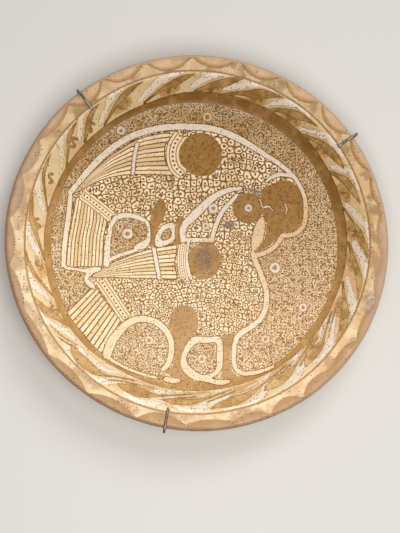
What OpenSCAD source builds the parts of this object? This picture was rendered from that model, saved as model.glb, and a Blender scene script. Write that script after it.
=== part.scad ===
// A shallow thrown dish of terracotta, with a tin glaze on its face, held in a spring-wire plate hanger.
// The dish stands on its foot at z = 0, face up, with its axis on Z. Sizes are in millimetres.

/* [Dish] */
// Outer diameter of the rim
rim_d = 305; // [240:1:400]
// Width of the flat lip round the rim, seen from above
lip_w = 14.5; // [10:0.5:22]
// Slope of the lip, rising outward
lip_angle = 14; // [6:1:24]
// Width of the sloping wall between the lip and the flat field, seen from above
wall_w = 26; // [22:0.5:40]
// Slope of the wall
wall_angle = 48; // [36:1:58]
// Radius of the cove where the field turns up into the wall
cove_r = 14; // [8:0.5:18]
// Radius of the shoulder where the wall turns out into the lip
shoulder_r = 6; // [3:0.5:9]
// Thickness of the wall and lip, glaze included
body_t = 7; // [5:0.25:9]
// Thickness of the floor inside the foot, glaze included
floor_t = 9.6; // [7:0.2:13]

/* [Foot] */
// How far the foot stands in from the edge of the field
foot_inset = 28; // [22:0.5:40]
// Width of the foot's standing face
foot_w = 10; // [6:0.5:16]
// Height of the foot below the floor
foot_h = 7; // [5.5:0.25:12]
// Radius on the foot's edges, from the turning tool
foot_soft = 1.5; // [0.5:0.25:2.5]

/* [Glaze] */
// Thickness of the glaze coat
glaze_t = 0.6; // [0.4:0.1:1]
// How far the glaze runs round the rim's edge, in degrees from the lip
glaze_wrap = 150; // [90:5:170]

/* [Hanger] */
// Diameter of the hanger's wire
wire_d = 2; // [1.6:0.1:2.6]
// Gap between the wire and what it bears on
seat_gap = 0.3; // [0.2:0.05:0.5]
// Gap between the springs and the table that the foot stands on
hang_gap = 0.4; // [0.3:0.1:1.5]
// Radius of the small bend in a hook's shank
shank_bend_r = 5; // [3:0.5:8]
// Bore of the hanging eye, for a nail or screw
hang_eye_bore = 7; // [5:0.5:10]
// Direction of the hanging eye, in degrees from +X
hang_eye_angle = 81; // [60:1:100]

/* [Hooks] */
// Direction of the upper left hook, in degrees from +X
left_angle = 129; // [110:1:150]
// Direction of the right hook, in degrees from +X
right_angle = 34; // [15:1:50]
// Direction of the bottom hook, in degrees from +X
bottom_angle = 260; // [230:1:290]
// Reach of the upper left hook's tip in from the rim's edge
left_reach = 18; // [12:0.5:24]
// Reach of the right hook's tip in from the rim's edge
right_reach = 16; // [12:0.5:24]
// Reach of the bottom hook's tip in from the rim's edge
bottom_reach = 17.5; // [12:0.5:24]
// Gap between the upper left hook's bend and the rim's edge
left_stand = 1.6; // [0.3:0.1:4]
// Gap between the right hook's bend and the rim's edge
right_stand = 2.5; // [0.3:0.1:4]
// Gap between the bottom hook's bend and the rim's edge
bottom_stand = 0.8; // [0.3:0.1:4]

/* [Springs] */
// Diameter of the spring's wire
spring_wire_d = 0.6; // [0.5:0.05:0.8]
// Outer diameter of the spring
spring_d = 5; // [4.8:0.1:6.4]
// Pitch of the spring's turns while it holds the dish
spring_pitch = 1.4; // [1.3:0.05:2.2]

/* [Hidden] */

turn_fn = 96;
wire_fn = 32;
arc_step = 6;
clay_colour = "#c79a73";
glaze_colour = "#ead3ad";
wire_colour = "#4a4238";
spring_colour = "#6f6a62";

// Section of the dish, in radius and height. Its face is made of tangent lines and arcs that share
// their centres at every depth below the glaze, so the clay under the glaze is the same curve offset.
rim_r = rim_d / 2;
edge_r = body_t / 2;
field_r = rim_r - lip_w - wall_w;
field_z = foot_h + floor_t;
cove_c = [field_r, field_z + cove_r];
cove_end = cove_c + cove_r * [sin(wall_angle), -cos(wall_angle)];
shoulder_end_r = rim_r - lip_w;
shoulder_run = shoulder_r * (sin(wall_angle) - sin(lip_angle));
wall_end_r = shoulder_end_r - shoulder_run;
wall_end_z = cove_end[1] + (wall_end_r - cove_end[0]) * tan(wall_angle);
shoulder_c = [wall_end_r, wall_end_z] + shoulder_r * [sin(wall_angle), -cos(wall_angle)];
lip_start = shoulder_c + shoulder_r * [-sin(lip_angle), cos(lip_angle)];
edge_c_r = rim_r - edge_r;
edge_top_r = edge_c_r - edge_r * sin(lip_angle);
edge_c_z = lip_start[1] + (edge_top_r - lip_start[0]) * tan(lip_angle) - edge_r * cos(lip_angle);
edge_c = [edge_c_r, edge_c_z];

foot_r = field_r - foot_inset;
under_z = field_z - body_t;
recess_z = foot_h;

// Hanger: the ring lies low round the foot, so that a spring stays clear of the clay when its hook is pulled out.
wire_r = wire_d / 2;
spring_wire_r = spring_wire_d / 2;
coil_r = (spring_d - spring_wire_d) / 2;
hang_z = spring_d / 2 + hang_gap;
// How far a wire's centre lies from the centre of the spring loop that it pulls on
loop_seat = coil_r - spring_wire_r - seat_gap - wire_r;
ring_r = foot_r + seat_gap + coil_r + spring_wire_r - loop_seat;
hang_eye_r = hang_eye_bore / 2 + wire_r;

// Hook: its wire wraps the rim's edge, runs straight past the knuckle under the wall, and bends
// level to an eye. The wire is a little thinner at a bend, and a bend's ends lie inside the straight runs.
bend_thin = 0.04;
bend_lap = 0.25;
wrap_r = edge_r + seat_gap + wire_r;
knuckle_r = cove_r + body_t + seat_gap + wire_r;
edge_from_cove = edge_c - cove_c;
close_angle = atan2(edge_from_cove[1], edge_from_cove[0])
    + asin((knuckle_r - wrap_r) / norm(edge_from_cove));
close_top = edge_c + wrap_r * [sin(close_angle), -cos(close_angle)];
shank_bend = [close_top[0] - (close_top[1] - hang_z) / tan(close_angle), hang_z];
hook_eye_r = wire_r + spring_wire_d + 2 * seat_gap;
hook_eye_x = shank_bend[0] - shank_bend_r * tan(close_angle / 2) - hook_eye_r - wire_r;

// Spring: from the ring to the hook's eye, along the radius. Local x is outward from the ring's wire.
inner_loop_x = loop_seat;
outer_loop_x = hook_eye_x - hook_eye_r - ring_r - loop_seat;
loop_sweep = 280;
loop_rings = 16;
curl_rings = 8;
tube_sides = 6;
coil_start = inner_loop_x + coil_r + spring_wire_d;
coil_room = outer_loop_x - coil_r - spring_wire_d - coil_start;
coil_turns = floor(coil_room / spring_pitch);
coil_lead = coil_room / coil_turns;

// Points of an arc round centre c in the section, with its angles measured from straight down towards +X
function arc(c, r, a0, a1) =
    let (steps = max(2, ceil(abs(a1 - a0) / arc_step)))
    [for (i = [0 : steps]) let (a = a0 + (a1 - a0) * i / steps) c + r * [sin(a), -cos(a)]];

// The face at a depth below the glaze's surface, from the axis out and round the rim's edge by wrap degrees
function face(depth, wrap) = concat(
    [[0, field_z - depth]],
    arc(cove_c, cove_r + depth, 0, wall_angle),
    arc(shoulder_c, shoulder_r - depth, 180 + wall_angle, 180 + lip_angle),
    arc(edge_c, edge_r - depth, 180 + lip_angle, 180 + lip_angle - wrap)
);

function reversed(list) = [for (i = [len(list) - 1 : -1 : 0]) list[i]];

// Where the underside of the lip meets the underside of the wall
lip_under = edge_c + (edge_r - glaze_t) * [sin(lip_angle), -cos(lip_angle)];
wall_under = cove_c + (cove_r + body_t) * [sin(wall_angle), -cos(wall_angle)];
corner_r = (lip_under[1] - wall_under[1] + wall_under[0] * tan(wall_angle) - lip_under[0] * tan(lip_angle))
    / (tan(wall_angle) - tan(lip_angle));
under_corner = [corner_r, wall_under[1] + (corner_r - wall_under[0]) * tan(wall_angle)];

module clay_body() {
    foot_in = foot_r - foot_w;
    outline = concat(
        face(glaze_t, 180),
        [under_corner],
        reversed(arc(cove_c, cove_r + body_t, 0, wall_angle)),
        [[foot_r, under_z]],
        arc([foot_r - foot_soft, foot_soft], foot_soft, 90, 0),
        arc([foot_in + foot_soft, foot_soft], foot_soft, 0, -90),
        [[foot_in, recess_z], [0, recess_z]]
    );
    color(clay_colour) rotate_extrude($fn = turn_fn) polygon(outline);
}

module face_glaze() {
    coat = concat(face(0, glaze_wrap), reversed(face(glaze_t, glaze_wrap)));
    color(glaze_colour) rotate_extrude($fn = turn_fn) polygon(coat);
}

// A ring of wire lying flat, with its centreline at radius r
module wire_ring(r) {
    rotate_extrude($fn = turn_fn) translate([r, 0]) circle(d = wire_d, $fn = wire_fn);
}

module hanger_ring() {
    color(wire_colour) translate([0, 0, hang_z]) {
        wire_ring(ring_r);
        rotate(hang_eye_angle) translate([ring_r + hang_eye_r, 0]) wire_ring(hang_eye_r);
    }
}

// Turns what follows, which stands on local Z, to lie in the local XZ plane and run from p towards q
module along(p, q) {
    way = q - p;
    translate([p[0], 0, p[1]]) rotate([0, 90 - atan2(way[1], way[0]), 0]) children();
}

// A straight length of wire in the section plane, from p to q
module wire_run(p, q) {
    along(p, q) cylinder(d = wire_d, h = norm(q - p), $fn = wire_fn);
}

// The same with its end at q rounded off past q
module wire_leg(p, q) {
    outline = concat([[0, 0], [wire_r, 0]], arc([0, norm(q - p)], wire_r, 90, 180));
    along(p, q) rotate_extrude($fn = wire_fn) polygon(outline);
}

// A bend of wire in the section plane round centre c, with its angles measured from local +X towards +Z
module wire_bend(c, r, a0, a1) {
    lap = asin(bend_lap / r);
    translate([c[0], 0, c[1]]) rotate([90, 0, 0]) rotate(a0 - lap)
        rotate_extrude(angle = a1 - a0 + 2 * lap, $fn = turn_fn)
            translate([r, 0]) circle(d = wire_d - bend_thin, $fn = wire_fn);
}

// A hook whose bend stands off the rim's edge. Its shank runs from the fixed bend point, tangent to the wrap.
module hook(angle, reach, stand) {
    lip_way = [cos(lip_angle), sin(lip_angle)];
    wrap_c = edge_c + (stand - seat_gap) * lip_way;
    to_wrap = wrap_c - shank_bend;
    shank_angle = atan2(to_wrap[1], to_wrap[0]) - asin(wrap_r / norm(to_wrap));
    shank_top = wrap_c + wrap_r * [sin(shank_angle), -cos(shank_angle)];
    bend_c = [shank_bend[0] - shank_bend_r * tan(shank_angle / 2), hang_z + shank_bend_r];
    bend_end = bend_c + shank_bend_r * [sin(shank_angle), -cos(shank_angle)];
    wrap_end = wrap_c + wrap_r * [-sin(lip_angle), cos(lip_angle)];
    leg = (reach - wire_r - (rim_r - wrap_end[0])) / cos(lip_angle);
    tip = wrap_end - leg * lip_way;
    color(wire_colour) rotate(angle) {
        translate([hook_eye_x, 0, hang_z]) wire_ring(hook_eye_r);
        wire_run([hook_eye_x + hook_eye_r, hang_z], [bend_c[0], hang_z]);
        wire_bend(bend_c, shank_bend_r, -90, shank_angle - 90);
        wire_run(bend_end, shank_top);
        wire_bend(wrap_c, wrap_r, shank_angle - 90, 90 + lip_angle);
        wire_leg(wrap_end, tip);
    }
}

module left_hook() hook(left_angle, left_reach, left_stand);
module right_hook() hook(right_angle, right_reach, right_stand);
module bottom_hook() hook(bottom_angle, bottom_reach, bottom_stand);

// Centreline of a spring: an open loop round the ring, the turns, and an open loop through the hook's eye
function loop_points(x, a0, a1) = [
    for (i = [0 : loop_rings]) let (a = a0 + (a1 - a0) * i / loop_rings)
        [x + coil_r * cos(a), 0, coil_r * sin(a)]
];
function coil_points() = [
    for (i = [0 : coil_turns * curl_rings]) let (a = 360 * i / curl_rings)
        [coil_start + coil_lead * i / curl_rings, coil_r * sin(a), coil_r * cos(a)]
];
spring_path = concat(
    loop_points(inner_loop_x, 90 + loop_sweep, 90),
    coil_points(),
    loop_points(outer_loop_x, 90, 90 - loop_sweep)
);

function unit(v) = v / norm(v);
function heading(path, i) =
    let (a = path[max(0, i - 1)], b = path[i], c = path[min(len(path) - 1, i + 1)])
    unit((norm(b - a) > 0 ? unit(b - a) : [0, 0, 0]) + (norm(c - b) > 0 ? unit(c - b) : [0, 0, 0]));
// Each ring's side direction is the last one's less its part along the new heading, so the tube never twists.
function sides_along(path) = [
    for (i = 0, s = unit(cross(heading(path, 0), [0, 1, 0.01])); i < len(path);
         i = i + 1, s = i < len(path) ? unit(s - (s * heading(path, i)) * heading(path, i)) : s) s
];

module tube(path, r, sides) {
    n = len(path);
    across = sides_along(path);
    points = [
        for (i = [0 : n - 1]) let (t = heading(path, i), u = across[i], w = cross(t, u))
            for (k = [0 : sides - 1]) let (a = 360 * k / sides) path[i] + r * (cos(a) * u + sin(a) * w)
    ];
    walls = [
        for (i = [0 : n - 2], k = [0 : sides - 1])
            let (a = i * sides + k, b = i * sides + (k + 1) % sides)
            each [[a, a + sides, b], [b, a + sides, b + sides]]
    ];
    start_cap = [for (k = [1 : sides - 2]) [0, k, k + 1]];
    end_cap = [for (k = [1 : sides - 2]) let (e = (n - 1) * sides) [e, e + k + 1, e + k]];
    polyhedron(points, concat(walls, start_cap, end_cap));
}

// Least gap between parts of the spring that lie more than half a turn apart along it
spring_gap = min([
    for (i = [0 : len(spring_path) - 1], j = [i + curl_rings / 2 + 1 : 1 : len(spring_path) - 1])
        norm(spring_path[i] - spring_path[j])
]) - spring_wire_d;
echo(spring_turns = coil_turns, spring_gap = spring_gap);

module spring(angle) {
    color(spring_colour) rotate(angle) translate([ring_r, 0, hang_z])
        tube(spring_path, spring_wire_r, tube_sides);
}

module left_spring() spring(left_angle);
module right_spring() spring(right_angle);
module bottom_spring() spring(bottom_angle);

clay_body();
face_glaze();
hanger_ring();
left_spring();
right_spring();
bottom_spring();
left_hook();
right_hook();
bottom_hook();
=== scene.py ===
from functools import partial

import bmesh
import bpy
import numpy as np
from mathutils import Matrix, Vector


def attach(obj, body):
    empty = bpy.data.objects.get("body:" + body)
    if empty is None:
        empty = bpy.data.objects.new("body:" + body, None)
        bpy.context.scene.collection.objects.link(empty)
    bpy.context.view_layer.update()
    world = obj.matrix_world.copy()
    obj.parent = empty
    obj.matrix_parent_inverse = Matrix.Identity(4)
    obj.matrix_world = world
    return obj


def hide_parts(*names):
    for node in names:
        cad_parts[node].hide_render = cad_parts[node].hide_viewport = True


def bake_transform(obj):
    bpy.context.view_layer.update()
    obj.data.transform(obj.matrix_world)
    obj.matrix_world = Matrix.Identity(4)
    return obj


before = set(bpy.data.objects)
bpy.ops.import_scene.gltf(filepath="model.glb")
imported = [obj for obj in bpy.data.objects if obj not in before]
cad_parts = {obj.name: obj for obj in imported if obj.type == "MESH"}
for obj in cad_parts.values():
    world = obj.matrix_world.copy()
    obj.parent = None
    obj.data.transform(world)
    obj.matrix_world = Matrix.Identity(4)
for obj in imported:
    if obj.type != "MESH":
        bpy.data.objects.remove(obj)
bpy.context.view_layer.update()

# Clay body
# The dish itself, thrown on a wheel from red-buff earthenware. Its back is bare fired clay that keeps the
# throwing rings, and the foot ring was turned with a tool when the clay was leather hard.
MM = 0.001  # sizes are written in mm, and meshes are made in metres
weld = 2e-6  # points nearer than this, in metres, are one
rim_r, lip_w, wall_w = 152.5, 14.5, 26.0
lip_slope, wall_slope = np.radians(14), np.radians(48)
cove_r, shoulder_r, body_t, edge_r, glaze_t = 14.0, 6.0, 7.0, 3.5, 0.6
foot_h, floor_t, foot_w, foot_soft = 7.0, 9.6, 10.0, 1.5
field_r, field_z = rim_r - lip_w - wall_w, foot_h + floor_t
foot_inset, root_r = 28.0, 1.2
foot_r = field_r - foot_inset
foot_in = foot_r - foot_w
under_z = field_z - body_t
edge_points = 26


def off(centre, radius, angle):
    """The point at a radius from a centre in the section, at an angle from straight down outward."""
    return np.stack([centre[0] + radius * np.sin(angle), centre[1] - radius * np.cos(angle)], -1)


def bow(centre, radius, start, stop, count):
    """Evenly spaced points of an arc in the section, from one angle to another."""
    return off(centre, radius, np.linspace(start, stop, count))


def run(start, stop, count):
    """Evenly spaced points of a straight line in the section, its last point left off."""
    part = np.linspace(0, 1, count, endpoint=False)[:, None]
    return np.array(start) * (1 - part) + np.array(stop) * part


cove_c = np.array([field_r, field_z + cove_r])
cove_end = off(cove_c, cove_r, wall_slope)
wall_end_r = rim_r - lip_w - shoulder_r * (np.sin(wall_slope) - np.sin(lip_slope))
wall_end = np.array([wall_end_r, cove_end[1] + (wall_end_r - cove_end[0]) * np.tan(wall_slope)])
shoulder_c = off(wall_end, shoulder_r, wall_slope)
lip_start = off(shoulder_c, shoulder_r, np.pi + lip_slope)
edge_top_r = rim_r - edge_r - edge_r * np.sin(lip_slope)
edge_c = np.array([
    rim_r - edge_r,
    lip_start[1] + (edge_top_r - lip_start[0]) * np.tan(lip_slope) - edge_r * np.cos(lip_slope),
])


def face_section(depth):
    """The face at a depth under the glaze's surface, from the axis to the lip, which runs straight on from
    the last point to the rim's edge."""
    return np.concatenate([
        run((0, field_z - depth), (field_r, field_z - depth), 40),
        bow(cove_c, cove_r + depth, 0, wall_slope, 16),
        bow(shoulder_c, shoulder_r - depth, np.pi + wall_slope, np.pi + lip_slope, 12),
    ])


def out_of_round(turn):
    """How far the hand-thrown rim is from a circle, as a part of its radius: an oval and a slow ripple."""
    oval = 0.0085 * np.cos(2 * (turn + np.radians(19.5)))
    ripple = 0.0006 * np.cos(5 * turn + 2.1) + 0.0005 * np.cos(8 * turn + 0.4) + 0.0003 * np.cos(13 * turn)
    return oval + ripple


def placed(name, data):
    """An object for a mesh, a lamp or a camera, put into the scene at the origin."""
    made = bpy.data.objects.new(name, data)
    bpy.context.scene.collection.objects.link(made)
    return made


def grid_mesh(name, points, rows_join=False):
    """One closed mesh of quads from a grid of points in mm. Its columns, and its rows if asked, join end to
    end, and points that fall together, such as a pole's, are merged."""
    rows, columns = points.shape[:2]
    index = np.arange(rows * columns).reshape(rows, columns)
    index = np.concatenate([index, index[:, :1]], 1)
    if rows_join:
        index = np.concatenate([index, index[:1]], 0)
    quads = np.stack([index[:-1, :-1], index[1:, :-1], index[1:, 1:], index[:-1, 1:]], -1)
    mesh = bpy.data.meshes.new(name)
    mesh.from_pydata((points.reshape(-1, 3) * MM).tolist(), [], quads.reshape(-1, 4).tolist())
    sculpt = bmesh.new()
    sculpt.from_mesh(mesh)
    bmesh.ops.remove_doubles(sculpt, verts=sculpt.verts, dist=weld)
    bmesh.ops.recalc_face_normals(sculpt, faces=sculpt.faces)
    sculpt.to_mesh(mesh)
    sculpt.free()
    mesh.shade_smooth()
    return placed(name, mesh)


lip_under = off(edge_c, edge_r - glaze_t, lip_slope)
wall_under = off(cove_c, cove_r + body_t, wall_slope)
corner_r = (
    lip_under[1] - wall_under[1] + wall_under[0] * np.tan(wall_slope) - lip_under[0] * np.tan(lip_slope)
) / (np.tan(wall_slope) - np.tan(lip_slope))
corner = np.array([corner_r, wall_under[1] + (corner_r - wall_under[0]) * np.tan(wall_slope)])
clay_section = np.concatenate([
    face_section(glaze_t),
    bow(edge_c, edge_r - glaze_t, np.pi + lip_slope, lip_slope, edge_points),
    run(lip_under, corner, 9)[1:],
    run(corner, wall_under, 16),
    bow(cove_c, cove_r + body_t, wall_slope, 0, 18)[:-1],
    run((field_r, under_z), (foot_r + root_r, under_z), 26),
    bow((foot_r + root_r, under_z - root_r), root_r, np.pi, 1.5 * np.pi, 6),
    run((foot_r, under_z - root_r), (foot_r, foot_soft), 5)[1:],
    bow((foot_r - foot_soft, foot_soft), foot_soft, np.pi / 2, 0, 8)[:-1],
    run((foot_r - foot_soft, 0), (foot_in + foot_soft, 0), 8),
    bow((foot_in + foot_soft, foot_soft), foot_soft, 0, -np.pi / 2, 8)[:-1],
    run((foot_in, foot_soft), (foot_in, foot_h - root_r), 5),
    bow((foot_in - root_r, foot_h - root_r), root_r, np.pi / 2, np.pi, 6)[:-1],
    run((foot_in - root_r, foot_h), (0, foot_h), 48),
    [[0, foot_h]],
])

# Throwing rings, tool marks, the dimple in the middle, and the radii where the face and the back go oval
ring_pitch, ring_depth, rings_from, rings_to = 6.2, 0.42, foot_r + 5, 141.0
tool_pitch, tool_depth, tool_to = 3.4, 0.22, foot_in - 3
dimple_r, dimple_depth = 6.0, 0.9
oval_from, back_oval_from = 60.0, 139.0
ring_fade_in, ring_fade_out, tool_fade, oval_fade = 6, 5, 5, 10


def eased(value, start, width):
    """0 up to a start, 1 from a width past it, and a straight run between the two."""
    return np.clip((value - start) / width, 0, 1)


def clay_surface(section, columns):
    """The section turned round the axis. Throwing rings are a shallow spiral cut into the back along the
    section's normal, with finer tool marks and a dimple inside the foot, and the rim is carried out of
    round."""
    turn = np.linspace(0, 2 * np.pi, columns, endpoint=False)[None, :]
    along = np.gradient(section, axis=0)
    along /= np.linalg.norm(along, axis=1, keepdims=True) + 1e-9
    r, z = section[:, :1], section[:, 1:]
    back = np.arange(len(section))[:, None] > len(face_section(0)) + edge_points
    rings = 0.5 + 0.5 * np.cos(2 * np.pi * r / ring_pitch - turn + 0.6 * np.sin(2 * turn))
    marks = 0.5 + 0.5 * np.cos(2 * np.pi * r / tool_pitch - turn)
    ringed = eased(r, rings_from, ring_fade_in) * (1 - eased(r, rings_to, ring_fade_out))
    depth = ring_depth * rings * ringed
    depth = depth + tool_depth * marks * (1 - eased(r, tool_to - tool_fade, tool_fade))
    depth = back * (depth + dimple_depth * np.exp(-((r / dimple_r) ** 2)))
    r_cut = r + along[:, 1:] * depth
    z_cut = z - along[:, :1] * depth
    grow = np.where(back, eased(r, back_oval_from, oval_fade), eased(r, oval_from, rim_r - oval_from))
    r_cut = r_cut * (1 + grow * out_of_round(turn))
    return np.stack([r_cut * np.cos(turn), r_cut * np.sin(turn), z_cut + 0 * turn], -1)


def tone(red, green, blue):
    """A colour as it is seen on a screen, 0 to 255, turned into the linear values that a shader takes."""
    part = np.array([red, green, blue]) / 255
    linear = np.where(part <= 0.04045, part / 12.92, ((part + 0.055) / 1.055) ** 2.4)
    return (*linear.tolist(), 1.0)


def set_sockets(made, sockets):
    """Fills a node's sockets with plain values or with other nodes' results."""
    for name, value in sockets.items():
        if isinstance(value, bpy.types.NodeSocket):
            made.id_data.links.new(value, made.inputs[name])
        else:
            made.inputs[name].default_value = value


def node(kind, sockets, tree=None, **options):
    """Adds a shader node with its options and fills its sockets. It goes into the tree that its first
    result comes from, unless a tree is named."""
    if tree is None:
        tree = next(value.id_data for value in sockets.values() if isinstance(value, bpy.types.NodeSocket))
    made = tree.nodes.new("ShaderNode" + kind)
    for name, value in options.items():
        setattr(made, name, value)
    set_sockets(made, sockets)
    return made


def calc(operation, first, *rest):
    """One kind of arithmetic on numbers or results, done with the first term alone or with each further
    term in turn."""
    for second in rest or [0.0]:
        first = node("Math", {0: first, 1: second}, operation=operation).outputs[0]
    return first


times, plus, most = (partial(calc, word) for word in ("MULTIPLY", "ADD", "MAXIMUM"))


def vector(operation, *terms):
    """One step of arithmetic on vectors. It gives a vector, or a number for a length or a dot product."""
    results = node("VectorMath", dict(enumerate(terms)), operation=operation).outputs
    return results["Value" if operation in ("LENGTH", "DOT_PRODUCT") else "Vector"]


def ramp(value, low, high, bottom=0.0, top=1.0):
    """Eases from bottom to top while the value goes from low to high."""
    sockets = {0: value, 1: low, 2: high, 3: bottom, 4: top}
    return node("MapRange", sockets, interpolation_type="SMOOTHSTEP").outputs[0]


def blended(part, *colours):
    """The first colour where part is 0 and the second where it is 1. A plain colour is as it is seen on a
    screen."""
    first, second = (c if isinstance(c, bpy.types.NodeSocket) else tone(*c) for c in colours)
    return node("Mix", {0: part, 6: first, 7: second}, data_type="RGBA").outputs[2]


def layered(colour, *coats):
    """Colours laid one over the other, each as thick as its part from 0 to 1 says."""
    for part, coat in coats:
        colour = blended(part, colour, coat)
    return colour


def noise(place, scale, detail=3.0, rough=0.55):
    """Cloudy noise from 0 to 1 in the object's own space."""
    sockets = {"Vector": place, "Scale": scale, "Detail": detail, "Roughness": rough}
    return node("TexNoise", sockets).outputs["Fac"]


def swept(flat, round_scale, out_scale):
    """A place for noise that is drawn out round the axis: the direction from the axis times one scale, and
    the distance from it times another."""
    lift = node("CombineXYZ", {2: times(vector("LENGTH", flat), out_scale)}).outputs[0]
    return vector("MULTIPLY_ADD", vector("NORMALIZE", flat), (round_scale, round_scale, 0), lift)


def bumped(height, strength, distance):
    """The surface's normal, tipped by a height that is given in parts of a distance in metres."""
    return node("Bump", {"Height": height, "Strength": strength, "Distance": distance}).outputs["Normal"]


def finish_of(name):
    """A new material with its shader and the object's own coordinates."""
    material = bpy.data.materials.new(name)
    material.use_nodes = True
    tree = material.node_tree
    place = node("TexCoord", {}, tree).outputs["Object"]
    return material, tree.nodes["Principled BSDF"], place


def dress(piece, material, body, nodes):
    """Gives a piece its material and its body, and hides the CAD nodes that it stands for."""
    piece.data.materials.append(material)
    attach(piece, body)
    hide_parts(*nodes)


clay, shader, place = finish_of("bare_red_buff_clay")
cloud = noise(place, 22.0, 5.0)
grit = noise(place, 900.0, 2.0)
sand = node("TexVoronoi", {"Vector": place, "Scale": 420.0}).outputs["Distance"]
wiped = noise(swept(vector("MULTIPLY", place, (1, 1, 0)), 0.25, 420.0), 1.0, 4.0, 0.6)
colour = layered(
    blended(ramp(cloud, 0.32, 0.68), (178, 122, 86), (201, 150, 113)),
    (ramp(wiped, 0.45, 0.7, 0.0, 0.3), (156, 102, 70)),
    (ramp(wiped, 0.45, 0.3, 0.0, 0.25), (214, 168, 132)),
    (ramp(grit, 0.45, 0.75, 0.0, 0.35), (222, 184, 150)),
    (ramp(sand, 0.22, 0.1, 0.0, 0.5), (132, 88, 64)),
)
set_sockets(shader, {
    "Base Color": colour,
    "Roughness": ramp(cloud, 0.2, 0.8, 0.78, 0.92),
    "Specular IOR Level": 0.25,
    "Normal": bumped(plus(times(grit, 0.6), ramp(sand, 0.25, 0.05, 0.0, -0.5)), 0.35, 0.0004),
})

dish = grid_mesh("thrown_dish", clay_surface(clay_section, 320))
dress(dish, clay, "dish", ["clay_body"])

# Face glaze
# The coat of cream tin glaze over the field, the wall and the lip. It was poured on, painted freehand with
# brown metal lustre in the old manner, a bird among dotted ground and a leaf border, and fired again.
rows = 317
wrap = np.radians(150)  # how far the coat goes round the rim's edge
end_from, end_drop = 0.9, 0.8  # the part of that way where its end starts to sink, and how far it sinks
flow_h = 0.035  # how high the glaze's slow waves stand

# The coat's points start as a square grid, and each square round its middle is drawn out into a circle
side = np.linspace(-1, 1, rows)
across, up = np.meshgrid(side, side)
out = np.maximum(np.abs(across), np.abs(up))
wide = np.abs(across) >= np.abs(up)
fraction = np.where(wide, up, across) / np.where(out == 0, 1, np.where(wide, across, up))
turn = np.where(wide, fraction * np.pi / 4, np.pi / 2 - fraction * np.pi / 4)
turn = turn + np.pi * np.where(wide, across < 0, up < 0)


def glaze_surface(out, turn):
    """The face from the axis (out 0) to the glaze's end (out 1), evenly along the section: first the face
    itself, then the rim's edge, where the coat stops at a wavering line and rounds off into the clay."""
    section = np.concatenate(
        [face_section(0), bow(edge_c, edge_r, np.pi + lip_slope, np.pi + lip_slope, 1)]
    )
    length = np.concatenate([[0], np.cumsum(np.linalg.norm(np.diff(section, axis=0), axis=1))])
    total = length[-1] + edge_r * wrap
    gone = out * total
    past = eased(gone, length[-1], edge_r * wrap)
    waver = 1 + 0.05 * np.cos(7 * turn + 1) + 0.05 * np.cos(11 * turn + 2) + 0.04 * np.cos(23 * turn)
    lean = np.pi + lip_slope - past * wrap * waver
    round_off = end_drop * eased(past, end_from, 1 - end_from) ** 2
    on_edge = gone > length[-1]
    edge = off(edge_c, edge_r - round_off, lean)
    r = np.where(on_edge, edge[..., 0], np.interp(gone, length, section[:, 0]))
    z = np.where(on_edge, edge[..., 1], np.interp(gone, length, section[:, 1]))
    flow = np.cos(0.31 * r + 2 * turn) + np.cos(0.23 * r - 3 * turn + 1) + np.cos(0.47 * r + 5 * turn + 2)
    z = z + np.where(on_edge, 0, flow_h * flow)
    r = r * (1 + eased(r, oval_from, rim_r - oval_from) * out_of_round(turn))
    return np.stack([r * np.cos(turn), r * np.sin(turn), z], -1), past


coat_points, edge_part = glaze_surface(out, turn)

# Each point's place on the face, and its distance from the axis and angle round it
px, py = coat_points[..., 0].ravel(), coat_points[..., 1].ravel()
pr, pa = np.hypot(px, py), np.degrees(np.arctan2(py, px)) % 360
reach = 9.0  # depths are worked out as far as this from a shape, in mm
curve_steps = 5  # between each two points of a curve


def curve(points, closed):
    """A smooth curve through given points: between each two, the cubic whose slopes are half the step
    between their neighbours. Columns past the first two, such as a width, are carried along."""
    p = np.array(points, float)
    p = np.concatenate([p[-1:], p, p[:2]] if closed else [2 * p[:1] - p[1:2], p, 2 * p[-1:] - p[-2:-1]])
    a, b, c, d = (q[:, None, :] for q in (p[:-3], p[1:-2], p[2:-1], p[3:]))
    t = (np.arange(curve_steps) / curve_steps)[None, :, None]
    line = b + t / 2 * ((c - a) + t * ((2 * a - 5 * b + 4 * c - d) + t * (3 * (b - c) + d - a)))
    line = line.reshape(-1, p.shape[1])
    return line if closed else np.concatenate([line, p[-2:-1]])


def around(line, margin):
    """The glaze's points within a margin of a line's box."""
    low, high = line.min(0)[:2] - margin, line.max(0)[:2] + margin
    return (px > low[0]) & (px < high[0]) & (py > low[1]) & (py < high[1])


def to_piece(x, y, a, b):
    """How far along the straight piece from a to b a point's nearest place is, 0 to 1, and how far away."""
    dx, dy = b[0] - a[0], b[1] - a[1]
    t = np.clip(((x - a[0]) * dx + (y - a[1]) * dy) / (dx * dx + dy * dy + 1e-9), 0, 1)
    return t, np.hypot(x - a[0] - t * dx, y - a[1] - t * dy)


def filled(*points):
    """Depth in mm inside a closed outline through the points, negative outside: the least distance to its
    edges, with its sign from how many edges a level line crosses."""
    line = curve(points, True)
    near = around(line, reach)
    x, y = px[near], py[near]
    least, inside = np.full(x.shape, reach), np.zeros(x.shape, bool)
    for a, b in zip(line, np.roll(line, -1, 0)):
        least = np.minimum(least, to_piece(x, y, a, b)[1])
        rise = b[1] - a[1] if b[1] != a[1] else 1e-9
        inside ^= ((a[1] > y) != (b[1] > y)) & (x < a[0] + (y - a[1]) * (b[0] - a[0]) / rise)
    depth = np.full(px.shape, -reach)
    depth[near] = np.where(inside, 1, -1) * least
    return depth


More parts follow.
